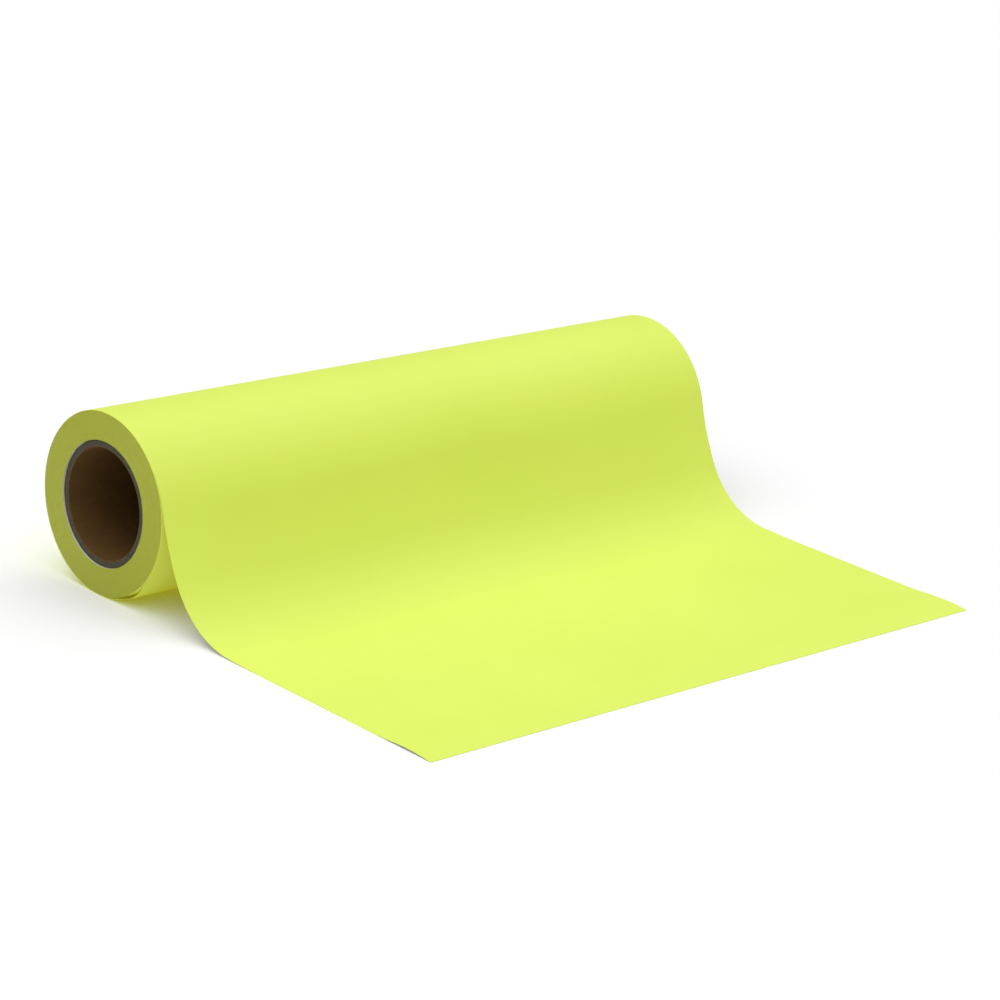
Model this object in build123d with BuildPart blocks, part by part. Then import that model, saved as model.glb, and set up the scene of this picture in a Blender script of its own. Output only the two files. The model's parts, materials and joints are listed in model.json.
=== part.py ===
from build123d import *
import os
from math import cos, pi, radians, sin

# A roll of self-adhesive sign vinyl with its free end opened out on a flat surface.
# All lengths are in millimetres and all angles in degrees.
# The origin is on the roll's axis, halfway along it. +Y runs along the axis, +Z is up, and the
# free end lies towards +X.

# ---- The web: a face film with its adhesive coat, on a release liner --------------------------
WEB_WIDTH = 508.0            # 20 in
FILM_THICKNESS = 0.13        # 0.11 film and 0.02 adhesive
LINER_THICKNESS = 0.13
WEB_THICKNESS = FILM_THICKNESS + LINER_THICKNESS

# ---- The core: a spiral-wound paper tube for a 3 in rod ---------------------------------------
BORE_RADIUS = 38.1
INNER_PLY_THICKNESS = 0.45
BOARD_PLY_THICKNESS = 0.475
BOARD_PLY_COUNT = 8
OUTER_PLY_THICKNESS = 0.45
CORE_RECESS = 1.25           # how far each mouth of the core is set back into the roll
CORE_LENGTH = WEB_WIDTH - 2 * CORE_RECESS

# ---- The starting tape between the core and the web's inner end -------------------------------
TAPE_THICKNESS = 0.09
TAPE_WIDTH = 12.7            # 1/2 in
TAPE_END_MARGIN = 6.0        # bare core beyond each end of the tape

# ---- The wound pack ---------------------------------------------------------------------------
WOUND_TURNS = 73
PACK_END_ANGLE = 20.0        # where the wound strips start and end, above +X, on the roll's front

# ---- The slack outer turn ---------------------------------------------------------------------
SLACK_CLEARANCE = 0.35       # between the pack's largest radius and the slack turn
SLACK_RISE = 1.8             # extra gap where the turn bags out at the lower front
SLACK_ANGLE = -62.0          # centre of that slack, from +X
SLACK_HALF_SPAN = 30.0       # the turn leaves the circle this far each side of the centre
CROWN_HALF_ANGLE = 12.0      # half the angle of the tighter arc at the slack's crown

# ---- The hanging curve and the flat sheet -----------------------------------------------------
LEAVING_ANGLE = 55.5         # where the sheet leaves the circle, above +X
CREST_RADIUS = 69.5          # convex, just after leaving the roll
STEEPEST_HEADING = -73.7     # the sheet's steepest slope, from +X
UPPER_SWEEP_RADIUS = 187.0   # concave, down to the next heading
SWEEP_HEADING = -59.4
LANDING_RADIUS = 1200.0      # the last shallow sweep onto the surface
LANDING_HEADING = -1.84
FLAT_LENGTH = 80.0
LIFT_RADIUS = 300.0          # the free end lifts a little, then curls back down
LIFT_ANGLE = 5.5
CURL_RADIUS = 180.0
CURL_ANGLE = 14.0

# ---- Radii that follow from the values above --------------------------------------------------
CORE_RADIUS = (BORE_RADIUS + INNER_PLY_THICKNESS + BOARD_PLY_COUNT * BOARD_PLY_THICKNESS
               + OUTER_PLY_THICKNESS)
PACK_INNER_RADIUS = CORE_RADIUS + TAPE_THICKNESS
PACK_OUTER_RADIUS = PACK_INNER_RADIUS + (WOUND_TURNS + 1) * WEB_THICKNESS
ROLL_RADIUS = PACK_OUTER_RADIUS + SLACK_CLEARANCE + WEB_THICKNESS
FLOOR_HEIGHT = -ROLL_RADIUS


def save(piece, name):
    """Label a finished piece and write its STEP file."""
    piece.part.label = name
    export_step(piece.part, f"parts/{name}.step")


def polar(radius, angle):
    """A point on the XZ plane, from its distance to the axis and its angle above +X."""
    return Vector(radius * cos(radians(angle)), radius * sin(radians(angle)))


# ---- Tangent paths ----------------------------------------------------------------------------
# A path is a list of legs. A leg is (length, turn): an arc that turns left by `turn` degrees, or
# right where it is negative, or a straight run where the turn is 0. Each leg's stations are its
# start, middle and end, each a point and a heading.

def arc(radius, turn):
    """An arc leg from its radius and the angle it turns."""
    return radius * abs(radians(turn)), turn


def advance(point, heading, length, turn):
    """The point and heading at the end of one leg."""
    if turn == 0:
        return point + polar(length, heading), heading
    radius = length / radians(turn)
    centre = point + polar(radius, heading + 90)
    return centre + polar(radius, heading + turn - 90), heading + turn


def stations(point, heading, legs):
    """Each leg's start, middle and end along a path."""
    placed = []
    for length, turn in legs:
        middle = advance(point, heading, length / 2, turn / 2)
        end = advance(point, heading, length, turn)
        placed.append(((point, heading), middle, end))
        point, heading = end
    return placed


def beside(station, offset):
    """A station's point moved sideways, to the left of its heading."""
    point, heading = station
    return point + polar(offset, heading + 90)


def draw_side(placed, offset):
    """Draw one side of a strip that runs at a constant distance from a path."""
    for start, middle, end in placed:
        ends = (beside(start, offset), beside(end, offset))
        if start[1] == end[1]:
            Line(*ends)
        else:
            ThreePointArc(ends[0], beside(middle, offset), ends[1])


def web_strip(placed, outer, inner):
    """A strip of the web between two offsets from a path, across the full width."""
    with BuildPart() as strip:
        with BuildSketch(Plane.XZ):
            with BuildLine():
                draw_side(placed, outer)
                draw_side(placed, inner)
                Line(beside(placed[0][0], outer), beside(placed[0][0], inner))
                Line(beside(placed[-1][-1], outer), beside(placed[-1][-1], inner))
            make_face()
        extrude(amount=WEB_WIDTH / 2, both=True)
    return strip


# ---- The core ---------------------------------------------------------------------------------

def tube(inner_radius, thickness, length):
    """A plain tube on the roll's axis."""
    with BuildPart() as wall:
        with BuildSketch(Plane.XZ):
            Circle(inner_radius + thickness)
            Circle(inner_radius, mode=Mode.SUBTRACT)
        extrude(amount=length / 2, both=True)
    return wall


def core_plies():
    """Every ply of the core from the bore outwards, as (name, inner radius, thickness)."""
    plies = [("core_inner_ply", BORE_RADIUS, INNER_PLY_THICKNESS)]
    radius = BORE_RADIUS + INNER_PLY_THICKNESS
    for number in range(1, BOARD_PLY_COUNT + 1):
        plies.append((f"core_board_ply_{number}", radius, BOARD_PLY_THICKNESS))
        radius += BOARD_PLY_THICKNESS
    plies.append(("core_outer_ply", radius, OUTER_PLY_THICKNESS))
    return plies


def start_tape():
    """The tape under the web's inner end, a strip along the core that follows its curve."""
    half_angle = TAPE_WIDTH / 2 / CORE_RADIUS * 180 / pi
    first = PACK_END_ANGLE - half_angle
    with BuildPart() as tape:
        with BuildSketch(Plane.XZ):
            with BuildLine():
                CenterArc((0, 0), CORE_RADIUS, first, 2 * half_angle)
                CenterArc((0, 0), CORE_RADIUS + TAPE_THICKNESS, first, 2 * half_angle)
                for angle in (first, first + 2 * half_angle):
                    Line(polar(CORE_RADIUS, angle), polar(CORE_RADIUS + TAPE_THICKNESS, angle))
            make_face()
        extrude(amount=CORE_LENGTH / 2 - TAPE_END_MARGIN, both=True)
    return tape


# ---- The wound pack ---------------------------------------------------------------------------

def spiral_path():
    """The wound web's inner face: half turns whose radius grows by half a web thickness each."""
    half_turns = [arc(PACK_INNER_RADIUS + count * WEB_THICKNESS / 2, -180)
                  for count in range(2 * WOUND_TURNS)]
    start = polar(PACK_INNER_RADIUS, PACK_END_ANGLE)
    return stations(start, PACK_END_ANGLE - 90, half_turns), half_turns


# ---- The slack turn, the hanging curve and the flat sheet -------------------------------------

def slack_legs():
    """The bagged stretch: two flatter arcs with a tighter crown between, tangent to the circle."""
    span = radians(SLACK_HALF_SPAN)
    crown = radians(CROWN_HALF_ANGLE)
    spread = sin(span) / sin(crown)
    growth = SLACK_RISE / (1 - cos(span) - spread * (1 - cos(crown)))
    flatter = arc(ROLL_RADIUS + growth, CROWN_HALF_ANGLE - SLACK_HALF_SPAN)
    tighter = arc(ROLL_RADIUS + growth * (1 - spread), -2 * CROWN_HALF_ANGLE)
    return [flatter, tighter, flatter]


def lower_sweep_radius():
    """The concave radius that brings the sheet down to the surface, from the height left over."""
    def fall(radius, first, last):
        return radius * (cos(radians(last)) - cos(radians(first)))

    crest_normal = STEEPEST_HEADING + 90
    crest_height = (ROLL_RADIUS - CREST_RADIUS) * sin(radians(LEAVING_ANGLE)) \
        + CREST_RADIUS * sin(radians(crest_normal))
    height = crest_height - FLOOR_HEIGHT - WEB_THICKNESS
    height -= fall(UPPER_SWEEP_RADIUS, STEEPEST_HEADING, SWEEP_HEADING)
    height -= fall(LANDING_RADIUS, LANDING_HEADING, 0)
    return height / fall(1, SWEEP_HEADING, LANDING_HEADING)


def unrolled_path():
    """The film's outer face, from the slack turn's hidden start to the cut end of the sheet."""
    to_slack = PACK_END_ANGLE - (SLACK_ANGLE + SLACK_HALF_SPAN)
    to_leaving = SLACK_ANGLE - SLACK_HALF_SPAN + 360 - LEAVING_ANGLE
    leaving_heading = LEAVING_ANGLE - 90
    legs = [
        arc(ROLL_RADIUS, -to_slack),
        *slack_legs(),
        arc(ROLL_RADIUS, -to_leaving / 2),
        arc(ROLL_RADIUS, -to_leaving / 2),
        arc(CREST_RADIUS, STEEPEST_HEADING - leaving_heading),
        arc(UPPER_SWEEP_RADIUS, SWEEP_HEADING - STEEPEST_HEADING),
        arc(lower_sweep_radius(), LANDING_HEADING - SWEEP_HEADING),
        arc(LANDING_RADIUS, -LANDING_HEADING),
        (FLAT_LENGTH, 0),
        arc(LIFT_RADIUS, LIFT_ANGLE),
        arc(CURL_RADIUS, -CURL_ANGLE),
    ]
    return stations(polar(ROLL_RADIUS, PACK_END_ANGLE), PACK_END_ANGLE - 90, legs), legs


# ---- Make and write every piece ---------------------------------------------------------------

os.makedirs("parts", exist_ok=True)

for ply_name, ply_radius, ply_thickness in core_plies():
    save(tube(ply_radius, ply_thickness, CORE_LENGTH), ply_name)

save(start_tape(), "core_start_tape")

spiral, spiral_legs = spiral_path()
save(web_strip(spiral, LINER_THICKNESS, 0), "wound_liner")
save(web_strip(spiral, WEB_THICKNESS, LINER_THICKNESS), "wound_film")

sheet, sheet_legs = unrolled_path()
save(web_strip(sheet, 0, -FILM_THICKNESS), "unrolled_film")
save(web_strip(sheet, -FILM_THICKNESS, -WEB_THICKNESS), "unrolled_liner")

wound_length = sum(length for length, turn in spiral_legs)
sheet_length = sum(length for length, turn in sheet_legs)
print(f"roll diameter {2 * ROLL_RADIUS:.2f}, core diameter {2 * CORE_RADIUS:.2f}")
print(f"wound web {wound_length:.0f}, slack turn and sheet {sheet_length:.0f}")
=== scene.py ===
import json
from cmath import rect
from math import ceil, cos, degrees, inf, pi, radians, sin

import bmesh
import bpy
import numpy as np
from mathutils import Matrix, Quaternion, Vector


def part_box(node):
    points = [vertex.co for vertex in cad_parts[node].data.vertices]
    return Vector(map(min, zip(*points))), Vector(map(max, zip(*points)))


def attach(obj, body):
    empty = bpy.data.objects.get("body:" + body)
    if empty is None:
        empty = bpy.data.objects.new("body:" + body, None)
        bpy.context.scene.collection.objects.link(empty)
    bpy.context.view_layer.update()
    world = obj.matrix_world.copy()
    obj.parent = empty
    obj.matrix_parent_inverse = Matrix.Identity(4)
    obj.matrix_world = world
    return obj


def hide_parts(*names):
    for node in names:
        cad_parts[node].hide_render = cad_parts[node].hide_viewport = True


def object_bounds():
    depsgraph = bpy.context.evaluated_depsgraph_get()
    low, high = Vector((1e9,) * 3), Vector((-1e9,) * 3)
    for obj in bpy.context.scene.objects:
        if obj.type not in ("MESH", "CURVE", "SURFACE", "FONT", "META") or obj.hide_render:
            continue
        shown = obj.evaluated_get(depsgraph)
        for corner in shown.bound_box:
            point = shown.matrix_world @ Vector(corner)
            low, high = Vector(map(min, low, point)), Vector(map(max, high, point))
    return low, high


# A roll of self-adhesive sign vinyl with its free end opened out on a flat surface.
# Everything is in metres, in the frame of the CAD model: the roll's axis is +Y through the origin,
# +Z is up, and the free end lies towards +X. Angles are in degrees.
# The sizes of the web and its path are those of part.py, apart from where a comment says otherwise.

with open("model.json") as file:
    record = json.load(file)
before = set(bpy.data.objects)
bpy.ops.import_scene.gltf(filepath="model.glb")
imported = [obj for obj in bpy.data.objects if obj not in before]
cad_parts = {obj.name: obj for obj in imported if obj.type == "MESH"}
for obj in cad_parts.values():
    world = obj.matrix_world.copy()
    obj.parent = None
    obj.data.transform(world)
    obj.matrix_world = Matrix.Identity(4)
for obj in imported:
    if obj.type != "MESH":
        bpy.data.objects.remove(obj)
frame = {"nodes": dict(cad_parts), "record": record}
CAD_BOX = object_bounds()
MM = 0.001

# ---- Sizes read from the frame ----------------------------------------------------------------
HALF_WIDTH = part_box("wound_film")[1].y
FLOOR_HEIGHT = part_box("unrolled_film")[0].z
ROLL_RADIUS = -FLOOR_HEIGHT
CORE_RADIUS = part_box("core_outer_ply")[1].x
BORE = next(mount for mount in frame["record"]["mounts"] if mount["name"] == "core_bore")
BORE_RADIUS = BORE["dims"]["r_mm"] * MM

# ---- The web ----------------------------------------------------------------------------------
FILM_THICKNESS = 0.13 * MM
LINER_THICKNESS = 0.13 * MM
WEB_THICKNESS = FILM_THICKNESS + LINER_THICKNESS
TAPE_THICKNESS = 0.09 * MM
PACK_INNER_RADIUS = CORE_RADIUS + TAPE_THICKNESS
WOUND_TURNS = 73

# The web is wound at a slightly wider pitch than in the CAD, so that no dark gap shows at the rim.
RIM_GAP = 0.06 * MM          # between the outermost wound turn and the slack turn outside it
WOUND_PITCH = (ROLL_RADIUS - WEB_THICKNESS - RIM_GAP - PACK_INNER_RADIUS) / (WOUND_TURNS + 1)
WOUND_TURN_STEP = 3.75       # the wound mesh has a point at least this often
PACK_END_ANGLE = 20.0        # where the wound strips start and end, above +X, on the roll's front

# The wound edges are a little uneven, which the CAD's are not.
EDGE_INSET = 0.1 * MM        # how far inside the web's width the wound edges lie on average
SHARED_WANDER = 0.035 * MM   # how far each turn's edge wanders, film and liner together
LINER_WANDER = 0.012 * MM    # and each of the two on its own
FILM_WANDER = 0.015 * MM

SEED = 11
FLUORESCENT_AND_PAINTED_GLOW = (1.0, 0.82, 0.02)     # a constant warm glow: partly the pigment's fluorescence, partly painted light for the film's shaded parts, as bright in shade as in light
SHARP_ANGLE = 35.0           # a mesh edge that turns more than this is drawn as a crease

# ---- The slack turn, the hanging curve and the flat sheet -------------------------------------
SLACK_RISE = 1.8 * MM        # extra gap where the turn bags out at the lower front
SLACK_ANGLE = -62.0          # centre of that slack, from +X
SLACK_HALF_SPAN = 30.0       # the turn leaves the circle this far each side of the centre
CROWN_HALF_ANGLE = 12.0      # half the angle of the tighter arc at the slack's crown
LEAVING_ANGLE = 55.5         # where the sheet leaves the circle, above +X
CREST_RADIUS = 69.5 * MM     # convex, just after leaving the roll
STEEPEST_HEADING = -73.7     # the sheet's steepest slope, from +X
UPPER_SWEEP_RADIUS = 187 * MM       # concave, down to the next heading
SWEEP_HEADING = -59.4
LANDING_RADIUS = 1200 * MM   # the last shallow sweep onto the surface
LANDING_HEADING = -1.84
ROUNDING = 1e-9              # keeps a whole number of steps whole
SHEET_STEP = 5 * MM          # the sheet's mesh has a point at least this often along a straight run
SHEET_TURN_STEP = 2.5        # and this often round a bend
SHEET_COLUMNS = 45           # points across its width

# The free end lifts and curls down as in the CAD, but lies up to 0.9 mm flatter.
FLAT_LENGTH = 96.1 * MM
LIFT_RADIUS = 300 * MM
LIFT_ANGLE = 4.2
CURL_RADIUS = 180 * MM
CURL_ANGLE = 11.0

LEGS_ON_ROLL = 5
LEGS_TO_LANDING = 8

# The slack turn's near edge has crept back into the roll over its lower front.
CREEP = 4 * MM
CREEP_ANGLE = -58.0
CREEP_HALF_SPAN = 26.0

# The hanging curve's unevenness across its width: each wave's share, how many of it fit across the
# width, and its start as a share of a wave.
RIPPLE_DEPTH = 0.22 * MM
RIPPLE_WAVES = ((1.0, 0.8, 0.15), (0.4, 2.1, 0.4))

# ---- The core's paper plies -------------------------------------------------------------------
PLY_LEAD = 138 * MM          # how far a helical ply runs along the tube in one turn
SEAM_HALF_GAP = 0.3 * MM
SEAM_DEPTH = 0.14 * MM
PLY_CHAMFER = 0.07 * MM
SEAM_PLY_PARTS = 3           # a seam is never deeper than one of this many parts of its ply
PLY_FUZZ = 0.10 * MM         # unevenness of a sawn ply edge
FUZZ_GRAIN = 0.4             # the share of it that differs from point to point
FUZZ_WAVE = 0.3              # and the share of each slow wave round the ply
FUZZ_WAVES = (3, 7, 16)      # how many of each slow wave fit round it
PLY_COLUMNS = 120
BORE_ROWS = 300              # enough that the helical seam stays on the round wall

# ---- The camera and the light -----------------------------------------------------------------
CAMERA_AZIMUTH = 44.75
CAMERA_ELEVATION = 18.51
CAMERA_ROLL = 5.42
CAMERA_DISTANCE = 2.392
CAMERA_LENS = 124.6
AIM_SHIFT = Vector((-0.036, 0.017, -0.0125))
FLOOR_HALF_SIZE = 12.0
SKY_STRENGTH = 0.162

# Each light's name, strength, apparent width, tilt from straight overhead, and the azimuth that it
# comes from.
LIGHTS = (
    ("overhead", 2.26, 100.0, 0.0, 0.0),
    ("near_end", 0.70, 100.0, 35.0, 0.0),
)


# ---- Materials --------------------------------------------------------------------------------

class Finish:
    """A Principled material with a few helpers that wire procedural detail into it."""

    def __init__(self, name, roughness, specular=0.5):
        self.material = bpy.data.materials.new(name)
        self.material.use_nodes = True
        self.nodes = self.material.node_tree.nodes
        self.links = self.material.node_tree.links
        self.shader = self.nodes["Principled BSDF"]
        self.shader.inputs["Roughness"].default_value = roughness
        self.shader.inputs["Specular IOR Level"].default_value = specular
        self.place = self.nodes.new("ShaderNodeTexCoord").outputs["Object"]
        self.normal = None

    def painted_glow(self, colour, strength):
        """A constant emission in its own colour: partly the light that a fluorescent pigment gives
        back, partly painted light, since it glows as brightly in shade as in light.
        """
        self.shader.inputs["Emission Color"].default_value = (*colour, 1)
        self.shader.inputs["Emission Strength"].default_value = strength

    def noise(self, scale, detail=4.0, stretch=(1, 1, 1), roughness=0.55):
        """Fractal noise in the frame's metres, drawn out along an axis by a small stretch."""
        mapping = self.nodes.new("ShaderNodeMapping")
        mapping.inputs["Scale"].default_value = stretch
        texture = self.nodes.new("ShaderNodeTexNoise")
        texture.inputs["Scale"].default_value = scale
        texture.inputs["Detail"].default_value = detail
        texture.inputs["Roughness"].default_value = roughness
        self.links.new(self.place, mapping.inputs["Vector"])
        self.links.new(mapping.outputs["Vector"], texture.inputs["Vector"])
        return texture.outputs["Fac"]

    def colour(self, amount, low, high, start=0.35, end=0.65):
        """Base colour that runs from low to high with a noise."""
        ramp = self.nodes.new("ShaderNodeValToRGB")
        ramp.color_ramp.elements[0].position = start
        ramp.color_ramp.elements[1].position = end
        ramp.color_ramp.elements[0].color = (*low, 1)
        ramp.color_ramp.elements[1].color = (*high, 1)
        self.links.new(amount, ramp.inputs["Fac"])
        self.links.new(ramp.outputs["Color"], self.shader.inputs["Base Color"])

    def gloss(self, amount, low, high):
        """Roughness that runs from low to high with a noise."""
        span = self.nodes.new("ShaderNodeMapRange")
        span.inputs["To Min"].default_value = low
        span.inputs["To Max"].default_value = high
        self.links.new(amount, span.inputs["Value"])
        self.links.new(span.outputs["Result"], self.shader.inputs["Roughness"])

    def bump(self, height, depth, strength=1.0):
        """Adds a bump to the ones before it."""
        bump = self.nodes.new("ShaderNodeBump")
        bump.inputs["Strength"].default_value = strength
        bump.inputs["Distance"].default_value = depth
        self.links.new(height, bump.inputs["Height"])
        if self.normal:
            self.links.new(self.normal, bump.inputs["Normal"])
        self.normal = bump.outputs["Normal"]
        self.links.new(self.normal, self.shader.inputs["Normal"])


def vinyl_face():
    """Satin calendered film: an even fluorescent yellow with a very fine grain, and a constant glow
    that is partly painted light and brightens its shaded parts.
    """
    finish = Finish("vinyl_film", roughness=0.5, specular=0.3)
    finish.painted_glow(FLUORESCENT_AND_PAINTED_GLOW, 0.178)
    finish.colour(finish.noise(9, detail=3),
                  low=(0.566, 0.748, 0.126), high=(0.584, 0.762, 0.136))
    finish.gloss(finish.noise(60, detail=5), low=0.44, high=0.56)
    finish.bump(finish.noise(2600, detail=2), depth=0.02 * MM, strength=0.35)
    finish.bump(finish.noise(28, detail=2), depth=0.05 * MM, strength=0.3)
    return finish.material


def vinyl_edge_painted_shade():
    """The film's knife-cut edge on the wound roll, deeper in colour than its face, and painted
    darker still with the shade of the fine gaps between the wound turns.
    """
    finish = Finish("vinyl_edge_painted_shade", roughness=0.55, specular=0.3)
    finish.colour(finish.noise(700, detail=3),
                  low=(0.397, 0.430, 0.013), high=(0.456, 0.490, 0.026))
    finish.bump(finish.noise(3000), depth=0.02 * MM, strength=0.4)
    return finish.material


def vinyl_edge_painted_light():
    """The film's cut edge on the opened-out sheet: a lighter copy of the wound edge with a stronger
    constant glow, painted light for the light that enters the open face and leaves at the edge.
    """
    finish = Finish("vinyl_bright_edge_painted_light", roughness=0.55, specular=0.3)
    finish.painted_glow(FLUORESCENT_AND_PAINTED_GLOW, 0.22)
    finish.colour(finish.noise(700, detail=3), low=(0.56, 0.66, 0.030), high=(0.62, 0.72, 0.050))
    finish.bump(finish.noise(3000), depth=0.02 * MM, strength=0.4)
    return finish.material


def liner_face_painted_light():
    """Siliconised white kraft paper with a faint cloudiness and a soft sheen, painted a dimmer
    yellowish grey: painted shade and painted yellow light from the film around it.
    """
    finish = Finish("liner_face_painted_light", roughness=0.4, specular=0.4)
    finish.colour(finish.noise(220, detail=6), low=(0.66, 0.665, 0.55), high=(0.72, 0.725, 0.62))
    finish.gloss(finish.noise(90), low=0.34, high=0.48)
    finish.bump(finish.noise(1400, detail=4), depth=0.02 * MM, strength=0.4)
    return finish.material


def liner_edge_painted_shade():
    """The liner's cut edge on the wound roll: white paper painted a dark olive yellow, painted
    yellow light from the film on both sides of it and painted shade of the gaps between the turns.
    """
    finish = Finish("liner_edge_painted_shade", roughness=0.8, specular=0.2)
    finish.colour(finish.noise(900, detail=4),
                  low=(0.339, 0.371, 0.044), high=(0.397, 0.430, 0.065))
    finish.bump(finish.noise(2500), depth=0.03 * MM, strength=0.5)
    return finish.material


def liner_edge_painted_light():
    """The liner's cut edge on the opened-out sheet: a lighter copy of the wound liner edge, white
    paper painted yellow with the light that comes through the open film beside it.
    """
    finish = Finish("liner_bright_edge_painted_light", roughness=0.8, specular=0.2)
    finish.colour(finish.noise(900, detail=4), low=(0.56, 0.63, 0.10), high=(0.62, 0.69, 0.15))
    finish.bump(finish.noise(2500), depth=0.03 * MM, strength=0.5)
    return finish.material


def kraft():
    """Smooth brown kraft with long fibres and a darker cloudiness."""
    finish = Finish("kraft_paper", roughness=0.7, specular=0.25)
    finish.colour(finish.noise(260, detail=8, stretch=(1, 0.3, 1)),
                  low=(0.117, 0.061, 0.015), high=(0.149, 0.079, 0.020), start=0.2, end=0.8)
    finish.bump(finish.noise(900, detail=6, stretch=(1, 0.25, 1)), depth=0.05 * MM, strength=0.6)
    finish.bump(finish.noise(60, detail=2), depth=0.15 * MM, strength=0.3)
    return finish.material


def board():
    """Recycled grey core board: mottled, fibrous and matt."""
    finish = Finish("grey_board", roughness=0.92, specular=0.15)
    finish.colour(finish.noise(650, detail=8, roughness=0.7),
                  low=(0.053, 0.046, 0.030), high=(0.116, 0.106, 0.070), start=0.3, end=0.7)
    finish.bump(finish.noise(1500, detail=8), depth=0.09 * MM, strength=0.8)
    return finish.material


def tissue_tape():
    """Thin double-sided tissue tape with a crossed fibre texture."""
    finish = Finish("mounting_tape", roughness=0.6, specular=0.35)
    finish.colour(finish.noise(500, detail=6, stretch=(1, 0.15, 1)),
                  low=(0.70, 0.68, 0.60), high=(0.82, 0.80, 0.73))
    finish.bump(finish.noise(1800, detail=5, stretch=(1, 0.2, 1)), depth=0.03 * MM, strength=0.6)
    return finish.material


def floor_paint():
    """A plain pale studio surface."""
    finish = Finish("studio_floor", roughness=0.9, specular=0.1)
    finish.colour(finish.noise(2, detail=2),
                  low=(0.955, 0.955, 0.965), high=(0.965, 0.965, 0.975))
    return finish.material


# ---- Paths in the XZ plane, as complex numbers x + z i ----------------------------------------
# A leg is (length, turn): an arc that turns left by `turn` degrees, or a straight run at 0.

def polar(radius, angle):
    """A point from its distance to the axis and its angle above +X."""
    return rect(radius, radians(angle))


def arc(radius, turn):
    """An arc leg from its radius and the angle it turns."""
    return radius * abs(radians(turn)), turn


def advance(point, heading, length, turn):
    """The point and heading at the end of one leg."""
    if turn == 0:
        return point + polar(length, heading), heading
    radius = length / radians(turn)
    centre = point + polar(radius, heading + 90)
    return centre + polar(radius, heading + turn - 90), heading + turn


def walk(point, heading, legs, longest, sharpest):
    """Points, left-hand normals and distances along a path. Each step is no longer than longest and
    turns no more than sharpest, apart from rounding."""
    points, headings, distances = [point], [heading], [0.0]
    for length, turn in legs:
        steps = ceil(max(length / longest, abs(turn) / sharpest) - ROUNDING)
        start, first, gone = points[-1], headings[-1], distances[-1]
        for step in range(1, steps + 1):
            share = step / steps
            place, facing = advance(start, first, length * share, turn * share)
            points.append(place)
            headings.append(facing)
            distances.append(gone + length * share)
    normals = np.exp(1j * np.radians(np.array(headings) + 90))
    return np.array(points), normals, np.array(distances)


def spiral_legs():
    """Half turns whose radius grows by half a pitch each: the web, and the air wound in with it."""
    return [arc(PACK_INNER_RADIUS + count * WOUND_PITCH / 2, -180)
            for count in range(2 * WOUND_TURNS)]


def slack_legs():
    """The bagged stretch: two flatter arcs with a tighter crown between."""
    span = radians(SLACK_HALF_SPAN)
    crown = radians(CROWN_HALF_ANGLE)
    spread = sin(span) / sin(crown)
    growth = SLACK_RISE / (1 - cos(span) - spread * (1 - cos(crown)))
    flatter = arc(ROLL_RADIUS + growth, CROWN_HALF_ANGLE - SLACK_HALF_SPAN)
    tighter = arc(ROLL_RADIUS + growth * (1 - spread), -2 * CROWN_HALF_ANGLE)
    return [flatter, tighter, flatter]


def lower_sweep_radius():
    """The concave radius that brings the sheet down to the surface."""
    def fall(radius, first, last):
        return radius * (cos(radians(last)) - cos(radians(first)))

    crest_height = (ROLL_RADIUS - CREST_RADIUS) * sin(radians(LEAVING_ANGLE)) \
        + CREST_RADIUS * sin(radians(STEEPEST_HEADING + 90))
    height = crest_height - FLOOR_HEIGHT - WEB_THICKNESS
    height -= fall(UPPER_SWEEP_RADIUS, STEEPEST_HEADING, SWEEP_HEADING)
    height -= fall(LANDING_RADIUS, LANDING_HEADING, 0)
    return height / fall(1, SWEEP_HEADING, LANDING_HEADING)


def unrolled_legs():
    """From the slack turn's hidden start to the cut end of the sheet. The first LEGS_ON_ROLL legs
    stay on the roll, and the shallow landing starts after LEGS_TO_LANDING."""
    to_slack = PACK_END_ANGLE - (SLACK_ANGLE + SLACK_HALF_SPAN)
    to_leaving = SLACK_ANGLE - SLACK_HALF_SPAN + 360 - LEAVING_ANGLE
    return [
        arc(ROLL_RADIUS, -to_slack),
        *slack_legs(),
        arc(ROLL_RADIUS, -to_leaving),
        arc(CREST_RADIUS, STEEPEST_HEADING - (LEAVING_ANGLE - 90)),
        arc(UPPER_SWEEP_RADIUS, SWEEP_HEADING - STEEPEST_HEADING),
        arc(lower_sweep_radius(), LANDING_HEADING - SWEEP_HEADING),
        arc(LANDING_RADIUS, -LANDING_HEADING),
        (FLAT_LENGTH, 0),
        arc(LIFT_RADIUS, LIFT_ANGLE),
        arc(CURL_RADIUS, -CURL_ANGLE),
    ]


# ---- Meshes -----------------------------------------------------------------------------------

def swept(name, rings, edge_sides, materials, closed=False):
    """A closed mesh through a row of equal rings of points. edge_sides are the ring's sides that
    take the second material. An open row is capped between the two halves of its end rings."""
    count, size = rings.shape[:2]
    faces, slots = [], []
    for row in range(count if closed else count - 1):
        here = row * size
        there = (row + 1) % count * size
        for side in range(size):
            beyond = (side + 1) % size
            faces.append((here + side, here + beyond, there + beyond, there + side))
            slots.append(int(side in edge_sides))
    if not closed:
        for base in (0, (count - 1) * size):
            for side in range(size // 2 - 1):
                faces.append((base + side, base + side + 1,
                              base + size - 2 - side, base + size - 1 - side))
                slots.append(1)
    mesh = bpy.data.meshes.new(name)
    mesh.from_pydata(rings.reshape(-1, 3).tolist(), [], faces)
    for material in materials:
        mesh.materials.append(material)
    mesh.polygons.foreach_set("material_index", slots)
    face_outwards(mesh)
    mesh.shade_smooth()
    mesh.set_sharp_from_angle(angle=radians(SHARP_ANGLE))
    piece = bpy.data.objects.new(name, mesh)
    bpy.context.scene.collection.objects.link(piece)
    return piece


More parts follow.
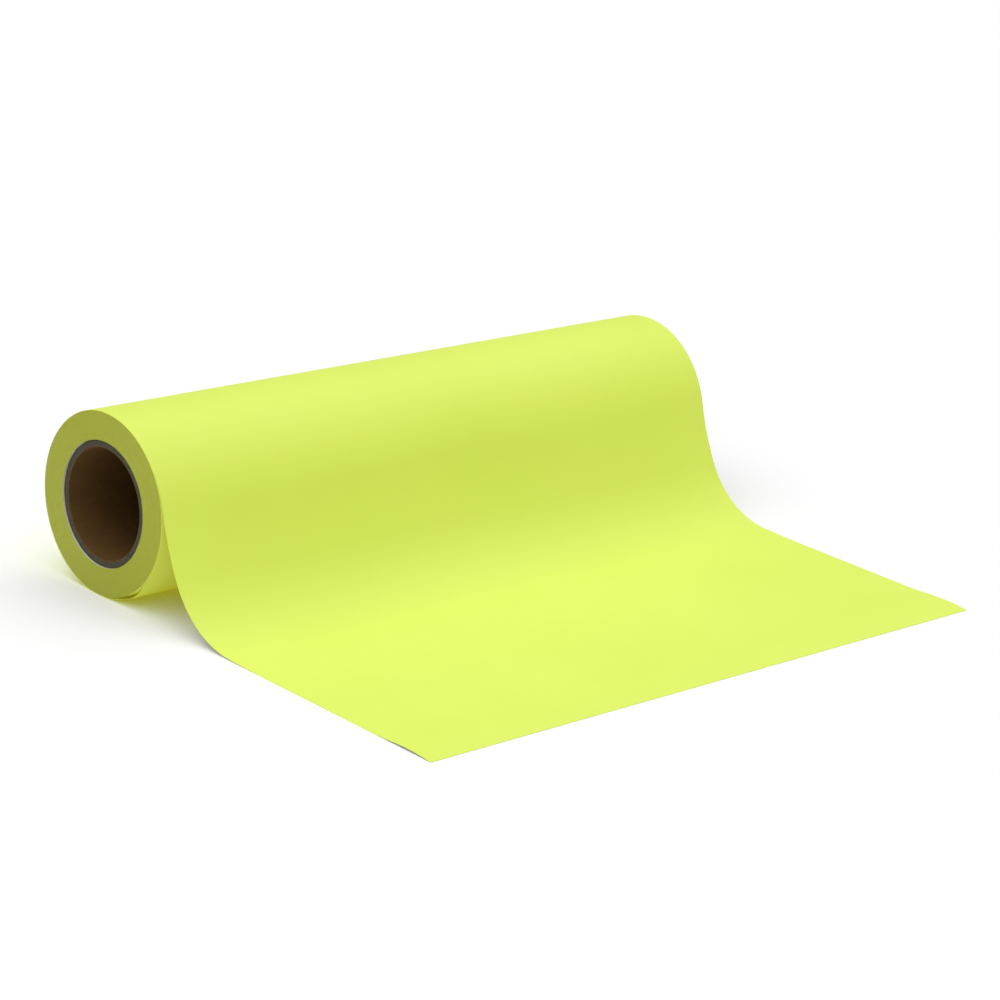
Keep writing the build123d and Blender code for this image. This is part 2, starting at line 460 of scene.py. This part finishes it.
def face_outwards(mesh):
    """Turn every face of a closed mesh outwards."""
    work = bmesh.new()
    work.from_mesh(mesh)
    bmesh.ops.recalc_face_normals(work, faces=work.faces)
    work.to_mesh(mesh)
    work.free()


def strip(name, path, outer, inner, near, far, shares, ripple, materials):
    """A thin strip of the web between two offsets from a path. near and far are its edges' y at
    each point of the path, and ripple moves it along its normal."""
    points, normals, _ = path
    across = near[:, None] + (far - near)[:, None] * shares[None, :]

    def side(offset):
        section = points[:, None] + normals[:, None] * (offset + ripple)
        section = np.broadcast_to(section, across.shape)
        return np.stack([section.real, across, section.imag], axis=2)

    rings = np.concatenate([side(outer), side(inner)[:, ::-1]], axis=1)
    columns = len(shares)
    return swept(name, rings, {columns - 1, 2 * columns - 1}, materials)


def window(value, centre, half_span):
    """A smooth hump: 1 at the centre, 0 from half_span away."""
    return np.cos(np.clip((value - centre) / half_span, -1, 1) * pi / 2) ** 2


# ---- The opened-out web -----------------------------------------------------------------------

def unrolled_path():
    """The film's outer face, from the slack turn's start to the cut end."""
    start = polar(ROLL_RADIUS, PACK_END_ANGLE)
    return walk(start, PACK_END_ANGLE - 90, unrolled_legs(),
                longest=SHEET_STEP, sharpest=SHEET_TURN_STEP)


def unrolled_edges(path):
    """The near and far edges' y, the near one with the slack turn's creep."""
    points, _, distances = path
    angle = np.degrees(np.angle(points))
    on_roll = distances < pi * ROLL_RADIUS
    near = -HALF_WIDTH + CREEP * window(angle, CREEP_ANGLE, CREEP_HALF_SPAN) * on_roll
    return near, np.full_like(near, HALF_WIDTH)


def unrolled_ripple(path, shares):
    """The hanging curve isn't quite even across its width, by a fraction of a millimetre."""
    _, _, distances = path
    lengths = [length for length, _ in unrolled_legs()]
    crest = sum(lengths[:LEGS_ON_ROLL])
    landing = sum(lengths[:LEGS_TO_LANDING])
    middle = (crest + landing) / 2
    hanging = window(distances, middle, (landing - crest) / 2)[:, None]
    across = shares[None, :]
    slow = sum(share * np.sin(2 * pi * (waves * across + start))
               for share, waves, start in RIPPLE_WAVES)
    return RIPPLE_DEPTH * hanging * slow


def column_shares():
    """Columns across the width, closer together near both edges."""
    return (1 - np.cos(np.linspace(0, pi, SHEET_COLUMNS))) / 2


def add_unrolled_web():
    """The slack turn, hanging curve and flat sheet of the film and of its liner."""
    path = unrolled_path()
    near, far = unrolled_edges(path)
    shares = column_shares()
    ripple = unrolled_ripple(path, shares)
    film = strip("film_sheet", path, 0, -FILM_THICKNESS, near, far, shares, ripple,
                 (VINYL_FACE, VINYL_EDGE_PAINTED_LIGHT))
    liner = strip("liner_sheet", path, -FILM_THICKNESS, -WEB_THICKNESS, near, far, shares, ripple,
                  (LINER_FACE_PAINTED_LIGHT, LINER_EDGE_PAINTED_LIGHT))
    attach(film, "web")
    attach(liner, "web")
    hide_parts("unrolled_film")
    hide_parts("unrolled_liner")


# ---- The wound web ----------------------------------------------------------------------------

def wander(turns, spread, generator):
    """How far each turn's edge stands out, drifting from turn to turn."""
    steps = generator.uniform(-spread, spread, WOUND_TURNS + 2)
    return np.interp(turns, np.arange(WOUND_TURNS + 2), steps)


def add_wound_web():
    """Every turn still on the core, of the liner and of the film outside it."""
    start = polar(PACK_INNER_RADIUS, PACK_END_ANGLE)
    path = walk(start, PACK_END_ANGLE - 90, spiral_legs(), longest=inf, sharpest=WOUND_TURN_STEP)
    turns = np.linspace(0, WOUND_TURNS, len(path[0]))
    generator = np.random.RandomState(SEED)
    shares = np.array([0.0, 1.0])
    layers = (
        # The wound turns' edges take the edge materials painted with shade, and the liner's face is
        # painted with light.
        ("wound_liner_roll", "wound_liner", LINER_THICKNESS, 0, LINER_WANDER,
         (LINER_FACE_PAINTED_LIGHT, LINER_EDGE_PAINTED_SHADE), "release_liner", "core_outer_ply"),
        ("wound_film_roll", "wound_film", WEB_THICKNESS, LINER_THICKNESS, FILM_WANDER,
         (VINYL_FACE, VINYL_EDGE_PAINTED_SHADE), "vinyl_film", "wound_liner_roll"),
    )
    near_drift, far_drift = [wander(turns, SHARED_WANDER, generator) for _ in range(2)]
    for name, node, outer, inner, own, materials, slot, under in layers:
        near = -HALF_WIDTH + EDGE_INSET + near_drift + wander(turns, own, generator)
        far = HALF_WIDTH - EDGE_INSET + far_drift + wander(turns, own, generator)
        piece = strip(name, path, outer, inner, near, far, shares, 0, materials)
        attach(piece, "roll")
        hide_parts(node)


# ---- The core ---------------------------------------------------------------------------------

def ply_columns(seam):
    """Angles round a ply, with four close together that make its butt seam, and each one's depth
    into the seam from 0 to 1."""
    gap = degrees(SEAM_HALF_GAP / BORE_RADIUS)
    plain = np.linspace(seam + 2 * gap, seam + 360 - 2 * gap, PLY_COLUMNS)
    angles = np.concatenate([plain, [seam + 360 - gap, seam + 360 + gap]])
    depths = np.concatenate([np.zeros(PLY_COLUMNS), [1, 1]])
    return angles, depths


def ply_profile(inner, outer, half_length, rows):
    """A ply's section as (radius, y, end, wall): end is -1 or 1 at a sawn edge, and wall is 1 on
    the outside and -1 on the bore side."""
    along = np.linspace(-half_length + PLY_CHAMFER, half_length - PLY_CHAMFER, rows)
    section = [(inner + PLY_CHAMFER, -half_length, -1, 0),
               (outer - PLY_CHAMFER, -half_length, -1, 0)]
    section += [(outer, y, 0, 1) for y in along]
    section += [(outer - PLY_CHAMFER, half_length, 1, 0), (inner + PLY_CHAMFER, half_length, 1, 0)]
    section += [(inner, y, 0, -1) for y in along[::-1]]
    return np.array(section)


def add_ply(node, inner, number, material, lead, rows):
    """One paper ply whose two edges butt in a shallow seam. The seam runs round the tube once in
    each lead, and straight along it where the lead is infinite."""
    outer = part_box(node)[1].x
    half_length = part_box(node)[1].y
    generator = np.random.RandomState(SEED + number)
    angles, depths = ply_columns(seam=generator.uniform(0, 360))
    radius, along, end, wall = ply_profile(inner, outer, half_length, rows).T
    turned = np.radians(angles[:, None]) + 2 * pi * along[None, :] / lead
    depth = min(SEAM_DEPTH, (outer - inner) / SEAM_PLY_PARTS)
    radii = radius[None, :] - wall[None, :] * depths[:, None] * depth
    fuzz = generator.uniform(-1, 1, len(angles)) * FUZZ_GRAIN
    for waves in FUZZ_WAVES:
        fuzz += FUZZ_WAVE * np.sin(np.radians(angles) * waves + generator.uniform(0, 2 * pi))
    lengths = along[None, :] - end[None, :] * PLY_FUZZ * (1 + fuzz[:, None])
    rings = np.stack([radii * np.cos(turned), lengths, radii * np.sin(turned)], axis=2)
    piece = swept(f"{node}_paper", rings, set(), (material,), closed=True)
    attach(piece, "roll")
    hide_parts(node)
    return outer


def add_core():
    """The plies from the bore outwards, then the starting tape's own material."""
    names = sorted(name for name in frame["nodes"] if name.startswith("core_board_ply"))
    radius = add_ply("core_inner_ply", BORE_RADIUS, 1, KRAFT, lead=PLY_LEAD, rows=BORE_ROWS)
    for number, node in enumerate([*names, "core_outer_ply"], start=2):
        radius = add_ply(node, radius, number, BOARD, lead=inf, rows=2)
    tape = frame["nodes"]["core_start_tape"]
    tape.data.materials.clear()
    tape.data.materials.append(TAPE)


# ---- The stage, light and camera --------------------------------------------------------------

def add_floor():
    """A plain pale surface under the roll and the sheet."""
    mesh = bpy.data.meshes.new("studio_floor")
    reach = FLOOR_HALF_SIZE
    corners = [(-reach, -reach), (reach, -reach), (reach, reach), (-reach, reach)]
    mesh.from_pydata([(x, y, FLOOR_HEIGHT) for x, y in corners], [], [(0, 1, 2, 3)])
    mesh.materials.append(FLOOR)
    floor = bpy.data.objects.new("studio_floor", mesh)
    bpy.context.scene.collection.objects.link(floor)


def add_surround():
    """A dim, even white surround."""
    world = bpy.data.worlds.new("studio")
    world.use_nodes = True
    sky = world.node_tree.nodes["Background"]
    sky.inputs["Color"].default_value = (1, 1, 1, 1)
    sky.inputs["Strength"].default_value = SKY_STRENGTH
    bpy.context.scene.world = world


def add_light(name, strength, width, tilt, azimuth):
    """One broad soft light, far enough away that it is as bright all over the object."""
    lamp = bpy.data.lights.new(name, "SUN")
    lamp.energy = strength
    lamp.angle = radians(width)
    light = bpy.data.objects.new(name, lamp)
    light.rotation_mode = "QUATERNION"
    light.rotation_quaternion = backwards(azimuth, 90 - tilt).to_track_quat("Z", "Y")
    bpy.context.scene.collection.objects.link(light)


def backwards(azimuth, elevation):
    """The direction from the object towards a camera or a light."""
    turned, raised = radians(azimuth), radians(elevation)
    return Vector((sin(turned) * cos(raised), -cos(turned) * cos(raised), sin(raised)))


def add_camera():
    """The camera at the viewing angle, rolled a little about its own axis."""
    lens = bpy.data.cameras.new("camera")
    lens.lens = CAMERA_LENS
    lens.clip_end = 4 * FLOOR_HALF_SIZE
    camera = bpy.data.objects.new("camera", lens)
    back = backwards(CAMERA_AZIMUTH, CAMERA_ELEVATION)
    aim = (CAD_BOX[0] + CAD_BOX[1]) / 2 + AIM_SHIFT
    camera.location = aim + back * CAMERA_DISTANCE
    camera.rotation_mode = "QUATERNION"
    camera.rotation_quaternion = (-back).to_track_quat("-Z", "Y") \
        @ Quaternion((0, 0, 1), radians(CAMERA_ROLL))
    bpy.context.scene.collection.objects.link(camera)
    bpy.context.scene.camera = camera
    bpy.context.scene.view_settings.view_transform = "Standard"


VINYL_FACE = vinyl_face()
VINYL_EDGE_PAINTED_SHADE = vinyl_edge_painted_shade()
VINYL_EDGE_PAINTED_LIGHT = vinyl_edge_painted_light()
LINER_FACE_PAINTED_LIGHT = liner_face_painted_light()
LINER_EDGE_PAINTED_SHADE = liner_edge_painted_shade()
LINER_EDGE_PAINTED_LIGHT = liner_edge_painted_light()
KRAFT = kraft()
BOARD = board()
TAPE = tissue_tape()
FLOOR = floor_paint()

add_floor()
add_surround()
for light in LIGHTS:
    add_light(*light)
add_camera()
add_core()
add_wound_web()
add_unrolled_web()
